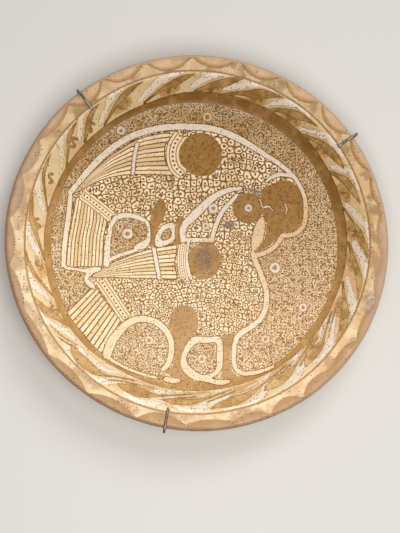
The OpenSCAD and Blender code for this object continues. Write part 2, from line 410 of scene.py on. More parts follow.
def brushed(*points):
    """Depth in mm inside a brush stroke through points with widths: half the width less the distance."""
    line = curve(points, False)
    near = around(line, reach)
    x, y = px[near], py[near]
    deepest = np.full(x.shape, -reach)
    for a, b in zip(line[:-1], line[1:]):
        t, away = to_piece(x, y, a, b)
        deepest = np.maximum(deepest, (a[2] + t * (b[2] - a[2])) / 2 - away)
    depth = np.full(px.shape, -reach)
    depth[near] = deepest
    return depth


def oval(x, y, half_w, half_h):
    """Depth inside an upright ellipse, near enough: its smaller half times one less the scaled distance."""
    return min(half_w, half_h) * (1 - np.hypot((px - x) / half_w, (py - y) / half_h))


def union(*depths):
    """Inside any of the shapes."""
    return np.maximum.reduce(depths)


# The bird's outline as the painter reserved it, x, y and width, from the tail over the back to the beak,
# and on from the throat down the breast to the front foot
back_line = [
    (-104, 41, 4), (-97, 50, 4.6), (-88, 61, 5.3), (-78, 71.5, 5.3), (-68, 80, 5.3), (-58, 86.5, 5.3),
    (-48, 91, 5.3), (-38, 94, 5.3), (-28, 96, 5.3), (-15, 97, 5.3), (0, 96.7, 5.3), (12, 95.5, 5.3),
    (24, 92, 5.3), (36, 86.5, 5.3), (48, 79.5, 4.6), (58, 73, 4), (68, 66.5, 3.8), (76, 60, 3.4),
    (82, 53.5, 3.3), (87, 45, 3.3), (89.5, 37, 3.4), (90, 28, 3.6), (89.5, 19, 3.6), (87, 13, 3.6),
    (82, 8.5, 3.6), (76, 6.5, 3.6), (70.5, 6, 3.7), (68, 2, 3.7), (64, -3, 3.7), (58, -7, 3.7),
    (52, -9.5, 3.7), (46, -10.5, 3.5),
]
breast_line = [
    (46, -9, 4), (48, -15, 4.3), (51, -22, 4.3), (54, -30, 4.3), (56.5, -38, 4.3), (57, -46, 4.3),
    (56, -54, 4.3), (52, -62, 4.3), (47, -67, 4.3), (40, -71.5, 4.3), (34, -76, 4.4), (31, -82, 4),
    (30, -90, 3.6), (30, -97, 3.6), (31.5, -103, 3.6), (37, -106.5, 3.6), (46, -106.3, 3.2),
    (55, -104, 2.8), (62, -101, 2),
]
tail_side = [
    (0, -114), (-28, -108), (-74, -93), (-104, -60), (-96, -46), (-86, -36), (-92, -26), (-108, -22),
]
bird = filled(*[p[:2] for p in back_line + breast_line], *tail_side)

# Solid lustre: shoulder discs, head, leaf in the beak, the drops between the wings, legs, and the line they
# stand on
solid = union(
    oval(3, 73.7, 17.5, 18.3),
    filled(
        (6, 0), (14, -1.5), (19, -9), (19.5, -17), (16, -25), (8, -29.6), (-1, -29), (-6, -23), (-7.5, -14),
        (-4, -4),
    ),
    oval(42, 29, 12.7, 12.7),
    filled(
        (53, 42), (57, 47), (64, 50), (72, 52.5), (79, 51), (84, 46), (87, 38), (88, 30), (88, 22),
        (85, 15), (81, 11), (76, 9.5), (70, 8.5), (66, 4), (61, -1), (55, -5), (48, -7.5), (52, -3),
        (55.5, 3), (57, 10), (57, 18), (54, 24),
    ),
    filled(
        (-30, 36.5), (-26.5, 33), (-25.5, 27), (-27, 21), (-31, 14), (-33.5, 8), (-34.5, 2), (-35, -2),
        (-38.5, -2), (-38, 6), (-38.5, 14), (-38, 22), (-36, 29), (-33, 34.5),
    ),
    filled(
        (-17, 19.5), (-10, 19.5), (-13.5, 12), (-15, 4), (-13.5, -0.5), (-20, -1.5), (-17.5, 5), (-17, 12),
    ),
    filled(
        (-11, -51.5), (-4, -53.5), (0, -59), (1, -66), (-1.5, -73), (-7, -80), (-12, -88), (-14, -96),
        (-12.5, -103), (-8, -109), (-3, -113), (-16, -110), (-28, -104.5), (-21, -102), (-18.5, -94),
        (-19, -84), (-20.5, -74), (-22.5, -66), (-21, -58), (-17, -53),
    ),
    filled(
        (20, -76.5), (26, -74.5), (31, -74), (28.5, -80), (27, -88), (26.5, -96), (28, -104), (31, -109.5),
        (25, -111), (20, -110), (20.5, -100), (20, -90),
    ),
    brushed(
        (-29, -110, 4), (-16, -114, 6), (0, -116, 6), (16, -116, 5.4), (30, -112.5, 5.4), (42, -110, 3.4),
    ),
)

# Reserved cream shapes inside the bird
cream_shapes = union(
    brushed(*back_line),
    brushed(*breast_line),
    brushed(
        (36, 45.5, 3), (26, 44, 4), (17, 40, 5), (9, 34, 5.8), (1, 26, 6.6), (-5, 20, 6.6), (-10, 15, 5.6),
        (-12, 9, 5), (-11.5, 2, 4.4),
    ),
    brushed((33, 40, 2.4), (27, 33, 3.4), (21, 26, 3.6), (16, 16, 3.6), (13.5, 8, 3.6), (12, 2, 3.4)),
    brushed((-8, 2.2, 3.4), (3, 2.2, 3.4), (13, 2.2, 3.2)),
    filled((54.5, 22), (50, 18), (46.5, 10), (45, 2), (45.5, -7), (50, -4), (54, 2), (55.5, 9), (56, 16)),
    brushed((70.5, 35.5, 0.6), (73, 32.5, 1.1), (74.3, 29.5, 1.4), (74, 26, 1.3), (72.5, 23.5, 0.7)),
    brushed((57, 51, 1.4), (62, 55, 3), (68.5, 57.4, 3.4), (75, 56.6, 2.4), (78.5, 55, 1.2)),
    brushed((50, 40, 0.8), (53, 33, 1.2), (54.5, 27.5, 1.2)),
    brushed((55, 29.5, 1.4), (59, 30.4, 1.6), (62.5, 27.5, 1.2)),
    brushed((-104, 38, 3.4), (-105.5, 20, 4), (-108, 0, 4), (-109, -19, 3.6)),
    brushed((-71, 9, 3), (-73, 2, 4.6), (-73.5, -8, 5), (-74, -18, 5)),
    brushed(
        (-72, 10, 3), (-68, 18.5, 4), (-62, 22, 4.2), (-54, 22, 4), (-46, 19.5, 3.6), (-41, 16, 2.8),
        (-39.5, 9, 2.4), (-40, 2, 3.4),
    ),
    brushed((-50.5, -4.5, 2.6), (-47, -3, 5.4), (-43.5, -2, 5.8), (-40.5, 1.5, 4)),
    brushed((-72, -14.5, 3.4), (-64, -11, 3), (-56, -8.4, 2.8), (-50, -6.4, 2.6)),
    brushed(
        (-109, -18, 3), (-106, -21.4, 2.4), (-99.5, -22.2, 2), (-92, -23.4, 3), (-84, -22.8, 5),
        (-79.5, -22, 2.6),
    ),
    brushed((-87, -24.5, 5), (-90, -28.5, 3.4), (-90, -31.5, 3.2), (-86.5, -35, 4.4), (-84.5, -37, 3)),
    brushed(
        (-73, -91.5, 7), (-69.5, -82, 7.4), (-63, -72.5, 6.6), (-55, -65.5, 5.4), (-45, -62.5, 5),
        (-34, -65, 5), (-26, -71.5, 4.8), (-21.5, -80, 4.6), (-21, -90, 4.6), (-23.5, -99, 4.4),
        (-27.5, -103.5, 3.4),
    ),
    brushed((-7.5, -1, 2.6), (-9, -12, 3), (-7.5, -22, 3), (-5, -29.5, 2.6)),
    brushed((-72, -94, 2.6), (-62, -100, 2.2), (-50, -105.2, 2.2), (-40, -108.4, 2.2), (-33, -110, 2)),
    brushed((-25.5, -111.4, 3.4), (-20.5, -112.2, 4.4), (-15, -112.6, 3)),
    brushed((6, -111.5, 3.4), (14, -113.4, 3.6), (20, -114, 4), (25.5, -113.2, 2.8)),
)
leg_cell = filled(
    (-2, -77), (9, -77.5), (19, -77.5), (21, -90), (20, -103), (14, -109), (5, -113), (-4, -111),
    (-11, -105), (-13.5, -97), (-11, -88), (-7, -81),
)
leg_cell_in = filled(
    (2, -82), (9, -82), (15.5, -82), (16, -92), (15, -104), (6, -108), (0, -106), (-6, -101), (-9, -95),
    (-6, -88), (-1.5, -83),
)
cream_shapes = union(cream_shapes, np.minimum(leg_cell, -leg_cell_in))
dome_in = filled(
    (-69, -91), (-65, -80), (-57, -70.5), (-46, -65), (-35, -67.5), (-28, -74), (-24, -84), (-26, -98),
    (-40, -104), (-56, -99),
)
wing_cell = filled(
    (-29, 13.5), (-23, 16), (-18.7, 15.5), (-18.4, 8), (-19, 2), (-25, -2), (-32, -4), (-34.6, -0.5),
    (-33.6, 6),
)
wing_cell_in = filled((-27.5, 9.5), (-22.5, 12), (-21, 8), (-22.5, 3.5), (-28, 1.5), (-30, 4.5))
cream_shapes = union(cream_shapes, np.minimum(wing_cell, -wing_cell_in))
arch_in = filled(
    (-70, 9), (-66, 16.5), (-60, 19.5), (-48, 17), (-42, 13), (-41.5, 4), (-47, -4.5), (-58, -9),
    (-71, -13),
)
bird = np.minimum(bird, -union(leg_cell_in, dome_in, wing_cell_in, arch_in))


def level(points, axis_from):
    """Where an edge stands at each point of the glaze: its other coordinate, read along one of them."""
    p = np.array(points, float)
    p = p[np.argsort(p[:, axis_from])]
    return np.interp(px if axis_from == 0 else py, p[:, axis_from], p[:, 1 - axis_from])


# Feathers: each fan runs between two edges, and its stripes are even parts of the way from one to the other
high_top = [(-101, 43), (-93, 52), (-82, 62.5), (-70, 73), (-56, 82.5), (-44, 87.8), (-30, 91), (-15, 93)]
high_low = [
    (-101, 40.2), (-90, 46), (-80, 51), (-68, 54.5), (-55, 56.3), (-40, 56.5), (-20, 56), (-8, 56.5),
]
low_top = [(-84, -26), (-80, -23), (-70, -17.5), (-60, -13), (-50, -9), (-40, -6), (-30, -4), (-15, -1.5)]
low_low = [(-85, -29), (-70, -29), (-50, -29.5), (-30, -29.8), (-15, -30)]
tail_left = [(-99, 37), (-102, 20), (-105.5, 0), (-106.5, -19)]
tail_right = [(-74, 17), (-76.5, 5), (-77.5, -19)]
high_fan = filled(
    *high_low[:-1], (-19, 58), (-25.5, 65), (-27, 76), (-25, 84), (-19, 90), *high_top[-2::-1]
)
low_fan = filled(*low_low[:-1], (-17, -30), (-18.5, -18), (-17, -2), *low_top[-2::-1])
tail_fan = filled(*tail_left, (-92, -20), *tail_right[::-1], (-85, 27))
rump_fan = filled(
    (-84, -36), (-77, -45), (-69, -55.5), (-62, -64), (-68, -77), (-77, -90), (-92, -75), (-105, -57),
    (-95, -47),
)


def share(points_a, points_b, axis_from):
    """How far each point lies from one edge towards the other, 0 to 1."""
    a, b = level(points_a, axis_from), level(points_b, axis_from)
    return ((py if axis_from == 0 else px) - a) / np.where(np.abs(b - a) < 0.5, 0.5, b - a)


def from_line(ax, ay, bx, by):
    """Distance to the left of the straight line from a to b."""
    return ((bx - ax) * (py - ay) - (by - ay) * (px - ax)) / np.hypot(bx - ax, by - ay)


rump_a, rump_b = from_line(-105, -57, -84, -36), from_line(-62, -64, -77, -90)
stripe = np.select(
    [high_fan > -2, low_fan > -2, tail_fan > -2, rump_fan > -2],
    [
        np.where(px < -51, 7, 9) * share(high_low, high_top, 0),
        8 * share(low_low, low_top, 0),
        10 * share(tail_left, tail_right, 1),
        10 * rump_a / np.where(np.abs(rump_a + rump_b) < 1, 1, rump_a + rump_b),
    ],
    0.0,
)
fans = union(high_fan, low_fan, tail_fan, rump_fan)
cross_bands = union(
    brushed((-53, 57, 2.6), (-52, 70, 2.8), (-49.5, 82, 2.8)),
    brushed((-35.5, -5, 3), (-33.5, -16, 3.2), (-31, -29, 3)),
)
cream_shapes = union(cream_shapes, cross_bands)


nowhere = 30.0  # mm to the side, which is off every band


def beside(*points):
    """How far along and to the side of a bent band through the points each place lies, and nowhere near it
    when past its ends."""
    line = curve(points, False)
    best, along, aside = np.full(px.shape, nowhere), np.zeros(px.shape), np.full(px.shape, nowhere)
    gone = 0.0
    for a, b in zip(line[:-1], line[1:]):
        dx, dy = b - a
        length = np.hypot(dx, dy)
        t = ((px - a[0]) * dx + (py - a[1]) * dy) / length
        away = to_piece(px, py, a, b)[1]
        take = (away < best) & (t > -0.6) & (t < length + 0.6)
        best = np.where(take, away, best)
        along = np.where(take, gone + t, along)
        aside = np.where(take, ((px - a[0]) * dy - (py - a[1]) * dx) / length, aside)
        gone += length
    return along, aside


# Beaded bands between the fans and the body: the points of each, and how large its beads are
beads_along, beads_aside = np.zeros(px.shape), np.full(px.shape, nowhere)
for points, scale in (
    ([(-12.5, 57.5), (-18, 63), (-20.3, 72), (-19, 81), (-14, 89.5)], 1.3),
    ([(-11.5, -1.8), (-13, -12), (-12.3, -22), (-10.5, -29.5)], 0.8),
    ([(-94, 39.5), (-82, 30.5), (-71, 21.5)], 1.1),
    ([(-78, -32), (-68, -47), (-58, -62)], 1.15),
):
    along, aside = beside(*points)
    take = np.abs(aside / scale) < np.abs(beads_aside)
    beads_along = np.where(take, along / scale, beads_along)
    beads_aside = np.where(take, aside / scale, beads_aside)

# Ring-and-dot eyes scattered on the ground and the body: x, y and radius
eyes = [
    (-57, 7, 4.6), (-39, -80, 3.6), (4, -95, 3.8), (64, -20.5, 4.6), (87, -53, 3.6), (56, -79, 3.6),
    (8.5, 105.5, 4.2), (70, 88, 2.8), (-63, 93, 3.8), (13.5, 28.5, 4.2), (7, 14, 3), (42.5, 29, 3.2),
]
eye_reach, no_eye = 1.7, 9.0  # in radii of an eye
eye_x, eye_y = np.full(px.shape, no_eye), np.full(px.shape, no_eye)
for x, y, eye_r in eyes:
    near = np.hypot(px - x, py - y) < eye_reach * eye_r
    eye_x[near], eye_y[near] = (px[near] - x) / eye_r, (py[near] - y) / eye_r

# Border: a broad band round the field, its two radii by angle, then leaves on the wall, each one stroke
# from its tip over its swelling down its stem to the band: angle, radius and width
band_in = np.interp(
    pa, [0, 20, 45, 90, 110, 140, 170, 200, 210, 230, 240, 260, 300, 320, 350],
    [116, 116, 116.5, 117, 117.5, 118, 119, 119, 119.5, 118.5, 118, 118, 117.6, 116.6, 116.4], period=360,
)
band_out = np.interp(
    pa, [0, 30, 45, 80, 95, 110, 130, 150, 180, 210, 225, 240, 260, 270, 290, 305, 320, 340, 350],
    [
        123.4, 124, 125, 125, 124.5, 122.5, 122.5, 123.5, 124.5, 124.5, 123.5, 121, 121, 120.7, 120.7,
        121.5, 122, 122, 123,
    ],
    period=360,
)
leaves = [
    [
        (-6.5, 137.5, 0.5), (-3, 136, 3.5), (0, 133, 5), (3.5, 131.5, 4), (6.5, 129, 2), (10, 126.2, 1.6),
        (14, 123.5, 1),
    ],
    [(12.8, 135.2, 0.5), (16, 133.8, 3), (20, 132, 5), (23, 130.2, 5), (26, 126.9, 3.2), (28.5, 123.9, 2)],
    [
        (26.3, 133.2, 0.5), (29, 132.7, 3.4), (32, 131.9, 5), (35, 131, 5.2), (38, 130.2, 4),
        (41, 128.2, 3.2), (47, 123.6, 2),
    ],
    [
        (43.5, 135.2, 0.5), (47, 134, 2.5), (51, 132.2, 5.2), (54, 130.5, 5.2), (57, 128.9, 3.6),
        (60, 126.6, 2.6), (62, 123.9, 2),
    ],
    [
        (58.5, 136.8, 0.5), (62, 134.8, 3), (66, 132.2, 6.4), (69, 130.2, 6), (72, 128.6, 3.8),
        (76, 126.6, 2.6), (80, 124.3, 2),
    ],
    [(74, 137.6, 0.5), (77, 135.2, 4), (80, 132.2, 5.6), (83, 130.2, 5), (87, 127.7, 3.4), (91, 124.9, 2)],
    [
        (91, 136, 0.5), (94, 134.3, 3.5), (97, 131.9, 4.8), (100, 130.2, 4.2), (103, 128.6, 3),
        (107, 126, 2), (111, 123.3, 1.5),
    ],
    [
        (109, 136.5, 0.5), (113, 135.2, 3.3), (117, 132.7, 4.3), (120, 130.5, 3.5), (123, 127.7, 2.5),
        (128.5, 123.1, 1.5),
    ],
    [
        (126, 136.3, 0.5), (129, 134.8, 3), (132, 131.9, 4.3), (134, 129.4, 3.8), (136, 126.6, 2.8),
        (138.5, 123.6, 2),
    ],
    [
        (134.5, 137.6, 0.4), (138, 135.5, 2.2), (141, 133.5, 3), (143, 131.5, 3), (145, 128.6, 2.2),
        (150.5, 123.3, 1.5),
    ],
    [
        (149, 137.1, 0.4), (153, 136, 2), (157, 134.8, 2.5), (160, 131.9, 2.2), (163, 128.9, 1.8),
        (169, 123.9, 1.4),
    ],
    [
        (164, 136.8, 0.4), (168, 135.8, 2.5), (172, 134.5, 3.5), (175, 132.2, 4), (178, 129.9, 3),
        (182, 126.9, 2), (187, 124.8, 1.6),
    ],
    [
        (183, 137.1, 0.4), (187, 136.3, 2.2), (191, 133.8, 2.8), (194, 131, 2.4), (197, 128.2, 1.8),
        (201, 124.6, 1.5),
    ],
    [
        (199, 137.5, 0.4), (202, 136, 3.5), (205, 133.5, 5.5), (207, 131, 5.5), (209, 128.6, 4),
        (213, 124.2, 2.5),
    ],
    [(210, 135.5, 0.8), (214, 133.5, 1), (218, 130.2, 1), (221, 127.5, 0.8)],
    [
        (219.5, 130.6, 0.5), (222, 132.4, 4.5), (225.5, 133, 7.6), (229, 132.8, 7.8), (232.5, 132.4, 5.4),
        (236, 130.4, 1.8), (240, 126.4, 1.3), (246, 123.4, 1),
    ],
    [
        (240.5, 131.2, 0.5), (243, 130.8, 4.5), (246, 130.2, 7), (249, 129.8, 7.2), (252, 129.4, 5),
        (256, 128, 1.8), (261, 125.6, 1.4), (268, 123.2, 1),
    ],
    [
        (257, 130.4, 0.5), (260, 130.2, 3.4), (264, 129.6, 5), (268, 129, 4.6), (272, 127.4, 2),
        (277, 124.8, 1.4), (283, 122.8, 1),
    ],
    [
        (274, 134.6, 0.5), (277, 132.8, 4), (281, 131.8, 6.6), (285, 131.2, 6.6), (289, 130, 3),
        (293, 127.4, 1.5), (299, 125, 1.3), (306, 123, 1),
    ],
    [
        (293.5, 131.4, 0.5), (296, 130.6, 4.6), (299, 129.8, 7), (302, 129.2, 7), (305, 128.8, 4.6),
        (308, 127.6, 1.8), (313, 125, 1.4), (320, 123, 1),
    ],
    [
        (310, 132.7, 0.5), (312, 131, 4.4), (314.5, 129.8, 7.2), (317, 129.4, 7), (319.5, 129.8, 4.6),
        (322, 129, 2), (326, 126, 1.5), (333, 123.4, 1),
    ],
    [
        (323, 137.1, 0.5), (328, 135.6, 4), (331.5, 133.8, 6), (335, 131.4, 4.6), (338, 128.6, 3),
        (342, 125.2, 2), (345, 123.6, 1.5),
    ],
    [
        (339, 137.1, 0.5), (343, 135.5, 3), (346, 134.3, 4.5), (349, 131.9, 4.5), (352, 129.4, 3.5),
        (356, 126.6, 2.5), (360, 124.4, 2),
    ],
]
# Curls under the leaves, angle and radius, the first twelve with a thin wash of lustre round them, and the
# shape of one curl: how far round, how far out and its width
curls = [
    (4, 127), (18.2, 127.2), (37, 127.2), (52.5, 127.5), (67.5, 127.3), (84, 127.6), (100, 127.6),
    (118.5, 127.8), (335, 127), (352.5, 127.3), (189, 128.6), (206, 127), (133, 127.2), (141.5, 128.4),
    (157, 129), (174, 129.4),
]
curl_line = np.array([
    (-3.5, 0.6, 2.6), (-2, 2.4, 1.6), (0.1, 1.5, 1.8), (0.9, -0.8, 2), (2.4, -1.9, 1.7), (3.8, -0.4, 2.5),
])


def polar(angle, r, width):
    """Points with widths from angles in degrees and radii."""
    angle = np.radians(angle)
    return np.stack([r * np.cos(angle), r * np.sin(angle), width + 0 * angle], -1)


def leaf(points):
    """A border leaf: one brush stroke that swells and tapers from its tip to the end of its stem."""
    return brushed(*polar(*np.array(points, float).T))


def curled(angle, r):
    """A small two-lobed curl that stands on the band under a leaf."""
    return brushed(*polar(angle + np.degrees(curl_line[:, 0] / r), r + curl_line[:, 1], curl_line[:, 2]))


def washed(angle, r):
    """The thin wash of lustre round a curl, from the leaf's belly down to the band."""
    turned, out, width = np.array([(-2.4, 0.6, 5.0), (0.6, -0.6, 6.6), (3.6, -1.6, 4.0)]).T
    return brushed(*polar(angle + turned, r + out, width))


def along_leaf(points, side, gap, width, taper=0.0):
    """A stroke that keeps a gap beside a leaf, on its outer side (1) or its inner side (-1), and thins
    towards its ends by its taper."""
    angle, r, swell = np.array(points[1:], float).T
    width = width * (1 - taper + taper * np.sin(np.linspace(0.1, 0.95, len(r)) * np.pi))
    return brushed(*polar(angle + 1.4 * side, r + side * (swell / 2 + gap + width / 2), width))


band = np.minimum(pr - band_in, band_out - pr)
solid = union(solid, band, *[leaf(points) for points in leaves], *[curled(*c) for c in curls])
low_washes = [
    (210, 125.6), (245, 126.2), (249.5, 125), (266, 125.6), (271, 124.6), (285, 126), (289, 125.4),
    (300, 125.4), (304.5, 125), (314, 126), (318, 125.4),
]
wash = union(*[washed(*c) for c in curls[:12] + low_washes])
low_leaves = leaves[14:21]
clear_strips = union(
    *[along_leaf(points, 1, 0.7, 4.6, 0.8) for points in leaves],
    *[along_leaf(points, -1, 0.5, 3.0, 0.6) for points in low_leaves],
)
solid = union(solid, *[along_leaf(points[-4:], 1, 0.6, 1.1) for points in low_leaves])
field = band_in - pr

# Lip: a thin line where the wall ends, and half-moons of thin lustre with cream cusps between them: angle
# and radius of each cusp, and how low each half-moon hangs after it
cusps = np.array([
    (9.5, 151, 145), (21.5, 150.5, 143.5), (35, 150, 141), (48.5, 151, 140.5), (62.5, 150.5, 140.5),
    (77.5, 150.5, 141), (92, 148.5, 139.5), (107, 150.5, 141.5), (121, 151, 140), (134, 150, 144.5),
    (148, 149.5, 143), (160, 149, 143), (174, 150.5, 145), (188.5, 150.5, 145), (203, 147.5, 144.5),
    (218, 148.5, 143), (234.5, 149.5, 142.5), (251, 149, 140), (266, 146.5, 142.5), (280.5, 146, 143),
    (292.5, 149, 142.5), (303.5, 150, 143), (315.5, 146, 143.5), (327.5, 149.5, 145), (340.5, 151, 145),
    (354, 148, 144),
])
wall_top_r, cusp_power, all_moon_from = 138.3, 2.2, 0.3
before = np.searchsorted(cusps[:, 0], pa, side="right") - 1
after = (before + 1) % len(cusps)
gap = (cusps[after, 0] - cusps[before, 0]) % 360
part = ((pa - cusps[before, 0]) % 360) / gap
top = cusps[before, 1] * (1 - part) + cusps[after, 1] * part
moon = pr - (cusps[before, 2] + (top - cusps[before, 2]) * np.abs(2 * part - 1) ** cusp_power)
moon = np.where(edge_part.ravel() > all_moon_from, reach, moon)
past_wall = pr - wall_top_r - 0.35 * np.cos(np.radians(3 * pa)) - 0.2 * np.cos(np.radians(7 * pa + 40))

# Grey-violet patches, x, y and half sizes: on the lip a smear where the lustre took badly, and on the figure
# patches that are partly stains and partly painted highlights, the grey glare of light on the glossy lustre.
# On the lip and in the border the tint goes by angle: mauve half-moons on the left and right, and a
# yellow-tan ground at the upper left and, weaker, the right
stain_and_glare, stain_and_glare_fall = np.zeros(px.shape), 1.4
for x, y, half_w, half_h in (
    (48, 43, 7, 4), (27, 15, 8, 5), (-13, -32, 3.5, 2.5), (6, -13, 10, 12), (139, -51, 8, 13),
):
    stain_and_glare = np.maximum(stain_and_glare, np.exp(-(((px - x) / half_w) ** 2 + ((py - y) / half_h) ** 2) * stain_and_glare_fall))


def swing(angle, half):
    """1 at an angle, easing to 0 at a half width on either side of it."""
    away = np.abs((pa - angle + 180) % 360 - 180)
    return 0.5 + 0.5 * np.cos(np.pi * np.clip(away / half, 0, 1))


lip_from, border_from = 138, 122
mauve = np.maximum.reduce([swing(160, 32), 0.6 * swing(196, 36), 0.9 * swing(352, 26)]) * (pr > lip_from)
yellowed = np.maximum(swing(135, 48), 0.5 * swing(15, 30)) * (pr > border_from)

# The coat as one mesh that carries these fields, with a round map of its own for baking
index = np.arange(rows * rows).reshape(rows, rows)
quads = np.stack([index[:-1, :-1], index[:-1, 1:], index[1:, 1:], index[1:, :-1]], -1).reshape(-1, 4)
coat_mesh = bpy.data.meshes.new("tin_glaze_coat")
coat_mesh.from_pydata((coat_points.reshape(-1, 3) * MM).tolist(), [], quads.tolist())
coat_mesh.shade_smooth()
for name, parts in {
    "figure": (bird, cream_shapes, solid),
    "plumes": (fans, stripe, field),
    "beads": (beads_along, beads_aside, stain_and_glare),
    "eyes": (eye_x, eye_y, edge_part.ravel()),
    "border": (past_wall, moon, wash),
    "tint": (mauve, yellowed, clear_strips),
}.items():
    layer = coat_mesh.attributes.new(name, "FLOAT_VECTOR", "POINT")
    layer.data.foreach_set("vector", np.stack(parts, -1).astype(np.float32).ravel())
map_r, map_middle = 0.49, 0.5
unrolled = map_middle + map_r * np.stack([out * np.cos(turn), out * np.sin(turn)], -1).reshape(-1, 2)
bake_map = coat_mesh.uv_layers.new(name="OFBake")
bake_map.data.foreach_set("uv", unrolled[quads.ravel()].astype(np.float32).ravel())
coat = placed("tin_glaze_coat", coat_mesh)

glaze, shader, place = finish_of("lustre_painted_tin_glaze")
flat = vector("MULTIPLY", place, (1000, 1000, 0))


def layer_parts(name):
    """The three painted fields that one attribute of the glaze carries."""
    carried = node("Attribute", {}, place.id_data, attribute_name=name).outputs["Vector"]
    return list(node("SeparateXYZ", {0: carried}).outputs)


def within(depth, soft=0.22):
    """1 inside a shape and 0 outside, with a soft brush edge."""
    return ramp(depth, -soft, soft)


def drawn(depth, half, soft=0.2):
    """1 on a line of a half width where the depth is nought."""
    return ramp(calc("ABSOLUTE", depth), half + soft, half - soft)


def over(part, first, second):
    """The first number where part is 0 and the second where it is 1."""
    return node("Mix", {0: part, 2: first, 3: second}, data_type="FLOAT").outputs[0]


def slant(a, b):
    """The long side of a right-angled triangle: the root of its two short sides' squares added."""
    return calc("SQRT", plus(times(a, a), times(b, b)))


def patches(scale, detail, rough, start, stop, bottom, top):
    """Cloudy patches: noise on the face, eased from bottom to top between two of its values."""
    return ramp(noise(flat, scale, detail, rough), start, stop, bottom, top)


def jitter(scale, detail, rough, middle, spread):
    """Cloudy noise on the face less a middle value, times a spread."""
    return times(plus(noise(flat, scale, detail, rough), -middle), spread)


bird_in, cream_in, solid_in = layer_parts("figure")
fan_in, stripe_at, field_in = layer_parts("plumes")
bead_at, bead_aside, stain_and_glare_at = layer_parts("beads")
eye_dx, eye_dy, edge_at = layer_parts("eyes")
lip_at, moon_in, wash_in = layer_parts("border")
mauve_at, yellow_at, white_in = layer_parts("tint")

shake = jitter(0.45, 2, 0.55, 0.5, 0.9)
wobble = node("TexNoise", {"Vector": flat, "Scale": 0.16, "Detail": 1.0}).outputs["Color"]
wobble = vector("MULTIPLY_ADD", vector("SUBTRACT", wobble, (0.5, 0.5, 0.5)), (4, 4, 0), flat)


def dotted(place, scale, loose, dot, line):
    """Cells drawn one against the other, in a 2-D Voronoi pattern: a dot in the middle of each, a line
    along its borders, and paint in the corners where several meet."""
    sockets = {"Vector": place, "Scale": scale, "Randomness": loose}
    pattern = partial(node, "TexVoronoi", sockets, voronoi_dimensions="2D")
    middle = pattern().outputs["Distance"]
    border = pattern(feature="DISTANCE_TO_EDGE").outputs["Distance"]
    dots = ramp(middle, dot + 0.04, dot - 0.04)
    lines = ramp(border, line + 0.05, line - 0.02)
    corners = ramp(middle, 0.52, 0.7, 0, 0.7)
    return most(dots, lines, corners)


def wormed(place, scale, half):
    """Short crooked strokes, where cloudy noise passes its middle value."""
    off_middle = calc("ABSOLUTE", plus(noise(place, scale, 1), -0.5))
    return ramp(off_middle, half + 0.03, half - 0.02)


# Line work: dotted cells in the bird, a finer stipple on the ground, and the stripes and outlines of the
# feathers
grade = 0.0025
wide_at, high_at = node("SeparateXYZ", {0: wobble}).outputs[:2]
finer = calc("DIVIDE", calc("EXPONENT", times(high_at, -grade)), grade)
swung = times(wide_at, grade)
graded = node("CombineXYZ", {
    0: times(finer, calc("SINE", swung)),
    1: times(finer, calc("COSINE", swung), -1),
}).outputs[0]
cells = dotted(graded, 0.228, 0.75, 0.19, 0.085)
stipple = most(dotted(wobble, 0.37, 0.9, 0.22, 0.02), wormed(flat, 0.38, 0.03))
in_field = within(field_in)
in_bird = within(bird_in)
line_work = times(in_field, over(in_bird, stipple, cells))
fan_edge = plus(fan_in, times(shake, 0.4))
in_fan = within(fan_edge)
wave = calc("PINGPONG", plus(stripe_at, times(shake, 0.12)), 0.5)
line_work = over(in_fan, line_work, ramp(wave, 0.17, 0.1))
line_work = most(line_work, drawn(fan_edge, 0.42))

# Solid lustre, with a darker edge, most on the border's leaves, then the cream that was reserved, with its
# outlines
solid_edge = plus(solid_in, shake)
fill = within(solid_edge)
leaf_rim = times(drawn(plus(solid_edge, -0.3), 0.3), over(in_field, 0.6, 0.15))
frayed = jitter(0.7, 3, 0.65, 0.5, 1.6)
cream_edge = plus(cream_in, times(shake, 0.6), frayed)
reserved = within(cream_edge)
fill = over(reserved, fill, 0)
line_work = over(most(fill, reserved), line_work, 0)
line_work = most(line_work, drawn(plus(cream_edge, 0.3), 0.36))

# Beaded bands, a row of dots between two pairs of lines, and the ring-and-dot eyes
bead_wave = plus(calc("PINGPONG", bead_at, 2.9), -1.45)
bead_wide = calc("ABSOLUTE", bead_aside)
bead_lines = most(drawn(plus(bead_wide, -2.1), 0.28), drawn(plus(bead_wide, -4.2), 0.28))
bead_paint = most(ramp(slant(bead_wave, bead_aside), 0.85, 0.6), bead_lines)
bead_mask = ramp(bead_wide, 4.6, 4.4)
eye_far = plus(slant(eye_dx, eye_dy), times(shake, 0.5))
eye_paint = most(ramp(eye_far, 0.54, 0.3), ramp(eye_far, 0.82, 0.98))
eye_mask = ramp(eye_far, 1.12, 1.04)
line_work = over(eye_mask, over(bead_mask, line_work, bead_paint), times(eye_paint, 0.75))
fill = over(most(bead_mask, eye_mask), fill, 0)
lip_line = drawn(plus(lip_at, times(shake, 0.6)), 0.75, 0.3)

# Tones: the lustre is brown above and tan below, partly as it was painted thicker above and partly as
# painted light, the lower part of the dish painted brighter; it is mottled on the figure and streaked along
# the brush's way round the border. The bare glaze is cooler above and warmer below, and it too is painted
# darker above and brighter below as painted light
height_on_dish = vector("DOT_PRODUCT", flat, (0.35, 1, 0))
heading = vector("NORMALIZE", flat)
to_right = vector("DOT_PRODUCT", heading, (0.95, -0.3, 0))
low_left = vector("DOT_PRODUCT", heading, (-0.7, -0.7, 0))
sweep = swept(flat, 9, 1.1)
patchy = noise(flat, 0.045, 5, 0.6)
cloudy = ramp(patchy, 0.36, 0.64)
